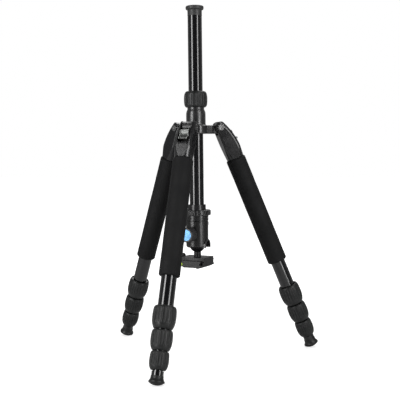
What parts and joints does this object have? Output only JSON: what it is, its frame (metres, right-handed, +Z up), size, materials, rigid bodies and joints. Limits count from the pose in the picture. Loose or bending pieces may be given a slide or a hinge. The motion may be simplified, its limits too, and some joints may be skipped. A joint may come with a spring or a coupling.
{
  "type": "tripod",
  "caption": "Compact aluminium tripod with telescopic folding legs, foam grips, twist locks, a reversed centre column and a hanging ball head with quick-release clamp.",
  "frame": {"origin": "on the column axis at floor level, the centre of the circle the three feet stand on", "axes": "+Z up along the centre column; the front leg points along -Y, the other two at 30 and 150 degrees from +X"},
  "size_m": [0.3832, 0.3354, 0.6007],
  "materials": {
    "cast_black": "satin",
    "tube_black": "gloss",
    "leather_black": "crackle satin",
    "foam": "smooth matt",
    "grip_rubber": "ribbed matt",
    "silver": "satin",
    "steel": "bright",
    "machined_black": "satin",
    "knob_black": "satin",
    "blue_disc": "anodised",
    "bush_nylon": "matt",
    "cup_nylon": "matt",
    "bubble": "clear tint"
  },
  "bodies": {
    "spider": {"spider": "cast_black", "pivot_bolts": "steel", "column_bush": "bush_nylon"},
    "front_leg": {"front_shoulder": "cast_black", "front_tube_1": "tube_black", "front_foam_grip": "foam"},
    "front_lock": {"front_angle_lock": "silver"},
    "front_twist_1": {"front_twist_lock_1": "grip_rubber"},
    "front_section_2": {"front_tube_2": "tube_black"},
    "front_twist_2": {"front_twist_lock_2": "grip_rubber"},
    "front_section_3": {"front_tube_3": "tube_black"},
    "front_twist_3": {"front_twist_lock_3": "grip_rubber"},
    "front_section_4": {"front_tube_4": "tube_black", "front_foot": "grip_rubber"},
    "right_leg": {"right_shoulder": "cast_black", "right_tube_1": "tube_black", "right_foam_grip": "foam"},
    "right_lock": {"right_angle_lock": "silver"},
    "right_twist_1": {"right_twist_lock_1": "grip_rubber"},
    "right_section_2": {"right_tube_2": "tube_black"},
    "right_twist_2": {"right_twist_lock_2": "grip_rubber"},
    "right_section_3": {"right_tube_3": "tube_black"},
    "right_twist_3": {"right_twist_lock_3": "grip_rubber"},
    "right_section_4": {"right_tube_4": "tube_black", "right_foot": "grip_rubber"},
    "left_leg": {"left_shoulder": "cast_black", "left_tube_1": "tube_black", "left_foam_grip": "foam"},
    "left_lock": {"left_angle_lock": "silver"},
    "left_twist_1": {"left_twist_lock_1": "grip_rubber"},
    "left_section_2": {"left_tube_2": "tube_black"},
    "left_twist_2": {"left_twist_lock_2": "grip_rubber"},
    "left_section_3": {"left_tube_3": "tube_black"},
    "left_twist_3": {"left_twist_lock_3": "grip_rubber"},
    "left_section_4": {"left_tube_4": "tube_black", "left_foot": "grip_rubber"},
    "collar": {"column_collar": "grip_rubber"},
    "column": {"column_long_tube": "tube_black", "column_joiner": "machined_black", "column_short_tube": "tube_black", "column_cap": "machined_black", "head_platform": "machined_black", "head_stud": "steel", "pan_base": "machined_black"},
    "head": {"head_housing": "leather_black", "pressure_cup": "cup_nylon"},
    "main_knob": {"main_knob": "knob_black", "main_knob_disc": "blue_disc"},
    "pan_knob": {"pan_knob": "knob_black"},
    "ball": {"ball": "machined_black"},
    "clamp": {"clamp_body": "machined_black"},
    "jaw": {"clamp_jaw": "machined_black", "bubble_level": "bubble"},
    "clamp_knob": {"clamp_knob": "knob_black"},
    "plate": {"release_plate": "machined_black", "plate_pad": "grip_rubber"},
    "camera_screw": {"camera_screw": "steel"}
  },
  "joints": [
    {"name": "front_leg_fold", "type": "hinge", "parent": "spider", "child": "front_leg", "pos_m": [0, -0.0415, 0.39392], "axis": [-1, 0, 0], "range_deg": [-16, 157.6]},
    {"name": "front_angle_lock_pull", "type": "slide", "parent": "front_leg", "child": "front_lock", "axis": [0, -0.3811, -0.9245], "range_m": [0, 0.005], "stiffness_N_per_m": 300, "springref_m": -0.001},
    {"name": "front_twist_1_turn", "type": "hinge", "parent": "front_leg", "child": "front_twist_1", "pos_m": [0, -0.1699, 0.09683], "axis": [0, 0.3811, 0.9245], "range_deg": [0, 90]},
    {"name": "front_extend_2", "type": "slide", "parent": "front_leg", "child": "front_section_2", "axis": [0, -0.3811, -0.9245], "range_m": [0, 0.23]},
    {"name": "front_twist_2_turn", "type": "hinge", "parent": "front_section_2", "child": "front_twist_2", "pos_m": [0, -0.18324, 0.06447], "axis": [0, 0.3811, 0.9245], "range_deg": [0, 90]},
    {"name": "front_extend_3", "type": "slide", "parent": "front_section_2", "child": "front_section_3", "axis": [0, -0.3811, -0.9245], "range_m": [0, 0.26]},
    {"name": "front_twist_3_turn", "type": "hinge", "parent": "front_section_3", "child": "front_twist_3", "pos_m": [0, -0.19505, 0.03581], "axis": [0, 0.3811, 0.9245], "range_deg": [0, 90]},
    {"name": "front_extend_4", "type": "slide", "parent": "front_section_3", "child": "front_section_4", "axis": [0, -0.3811, -0.9245], "range_m": [0, 0.29]},
    {"name": "right_leg_fold", "type": "hinge", "parent": "spider", "child": "right_leg", "pos_m": [0.03594, 0.02075, 0.39392], "axis": [0.5, -0.866, 0], "range_deg": [-16, 157.6]},
    {"name": "right_angle_lock_pull", "type": "slide", "parent": "right_leg", "child": "right_lock", "axis": [0.33, 0.1905, -0.9245], "range_m": [0, 0.005], "stiffness_N_per_m": 300, "springref_m": -0.001},
    {"name": "right_twist_1_turn", "type": "hinge", "parent": "right_leg", "child": "right_twist_1", "pos_m": [0.14714, 0.08495, 0.09683], "axis": [-0.33, -0.1905, 0.9245], "range_deg": [0, 90]},
    {"name": "right_extend_2", "type": "slide", "parent": "right_leg", "child": "right_section_2", "axis": [0.33, 0.1905, -0.9245], "range_m": [0, 0.23]},
    {"name": "right_twist_2_turn", "type": "hinge", "parent": "right_section_2", "child": "right_twist_2", "pos_m": [0.15869, 0.09162, 0.06447], "axis": [-0.33, -0.1905, 0.9245], "range_deg": [0, 90]},
    {"name": "right_extend_3", "type": "slide", "parent": "right_section_2", "child": "right_section_3", "axis": [0.33, 0.1905, -0.9245], "range_m": [0, 0.26]},
    {"name": "right_twist_3_turn", "type": "hinge", "parent": "right_section_3", "child": "right_twist_3", "pos_m": [0.16892, 0.09753, 0.03581], "axis": [-0.33, -0.1905, 0.9245], "range_deg": [0, 90]},
    {"name": "right_extend_4", "type": "slide", "parent": "right_section_3", "child": "right_section_4", "axis": [0.33, 0.1905, -0.9245], "range_m": [0, 0.29]},
    {"name": "left_leg_fold", "type": "hinge", "parent": "spider", "child": "left_leg", "pos_m": [-0.03594, 0.02075, 0.39392], "axis": [0.5, 0.866, 0], "range_deg": [-16, 157.6]},
    {"name": "left_angle_lock_pull", "type": "slide", "parent": "left_leg", "child": "left_lock", "axis": [-0.33, 0.1905, -0.9245], "range_m": [0, 0.005], "stiffness_N_per_m": 300, "springref_m": -0.001},
    {"name": "left_twist_1_turn", "type": "hinge", "parent": "left_leg", "child": "left_twist_1", "pos_m": [-0.14714, 0.08495, 0.09683], "axis": [0.33, -0.1905, 0.9245], "range_deg": [0, 90]},
    {"name": "left_extend_2", "type": "slide", "parent": "left_leg", "child": "left_section_2", "axis": [-0.33, 0.1905, -0.9245], "range_m": [0, 0.23]},
    {"name": "left_twist_2_turn", "type": "hinge", "parent": "left_section_2", "child": "left_twist_2", "pos_m": [-0.15869, 0.09162, 0.06447], "axis": [0.33, -0.1905, 0.9245], "range_deg": [0, 90]},
    {"name": "left_extend_3", "type": "slide", "parent": "left_section_2", "child": "left_section_3", "axis": [-0.33, 0.1905, -0.9245], "range_m": [0, 0.26]},
    {"name": "left_twist_3_turn", "type": "hinge", "parent": "left_section_3", "child": "left_twist_3", "pos_m": [-0.16892, 0.09753, 0.03581], "axis": [0.33, -0.1905, 0.9245], "range_deg": [0, 90]},
    {"name": "left_extend_4", "type": "slide", "parent": "left_section_3", "child": "left_section_4", "axis": [-0.33, 0.1905, -0.9245], "range_m": [0, 0.29]},
    {"name": "collar_turn", "type": "hinge", "parent": "spider", "child": "collar", "pos_m": [0, 0, 0.44152], "axis": [0, 0, 1], "range_deg": [0, 90]},
    {"name": "column_slide", "type": "slide", "parent": "spider", "child": "column", "axis": [0, 0, 1], "range_m": [-0.125, 0.118]},
    {"name": "head_pan", "type": "hinge", "parent": "column", "child": "head", "pos_m": [0, 0, 0.23392], "axis": [0, 0, 1], "continuous": true},
    {"name": "main_knob_turn", "type": "hinge", "parent": "head", "child": "main_knob", "pos_m": [-0.00469, -0.02963, 0.21192], "axis": [-0.1564, -0.9877, 0], "range_deg": [0, 270]},
    {"name": "pan_knob_turn", "type": "hinge", "parent": "head", "child": "pan_knob", "pos_m": [0.00407, 0.02568, 0.22632], "axis": [0.1564, 0.9877, 0], "range_deg": [0, 180]},
    {"name": "ball_tilt", "type": "hinge", "parent": "head", "child": "ball", "pos_m": [0, 0, 0.19242], "axis": [0.1564, 0.9877, 0], "range_deg": [-90, 40]},
    {"name": "ball_spin", "type": "hinge", "parent": "ball", "child": "clamp", "pos_m": [0, 0, 0.19242], "axis": [0, 0, 1], "continuous": true},
    {"name": "jaw_slide", "type": "slide", "parent": "clamp", "child": "jaw", "axis": [-0.9877, 0.1564, 0], "range_m": [0, 0.005]},
    {"name": "clamp_knob_turn", "type": "hinge", "parent": "jaw", "child": "clamp_knob", "pos_m": [-0.03161, 0.00501, 0.16832], "axis": [-0.9877, 0.1564, 0], "range_deg": [0, 1440]},
    {"name": "plate_slide", "type": "slide", "parent": "clamp", "child": "plate", "axis": [0.1564, 0.9877, 0], "range_m": [-0.01, 0.01]},
    {"name": "camera_screw_turn", "type": "hinge", "parent": "plate", "child": "camera_screw", "pos_m": [0, 0, 0.15402], "axis": [0, 0, -1], "continuous": true}
  ],
  "couplings": [
    {"joint": "clamp_knob_turn", "follows": "jaw_slide", "rad_per_m": 5026.5}
  ]
}
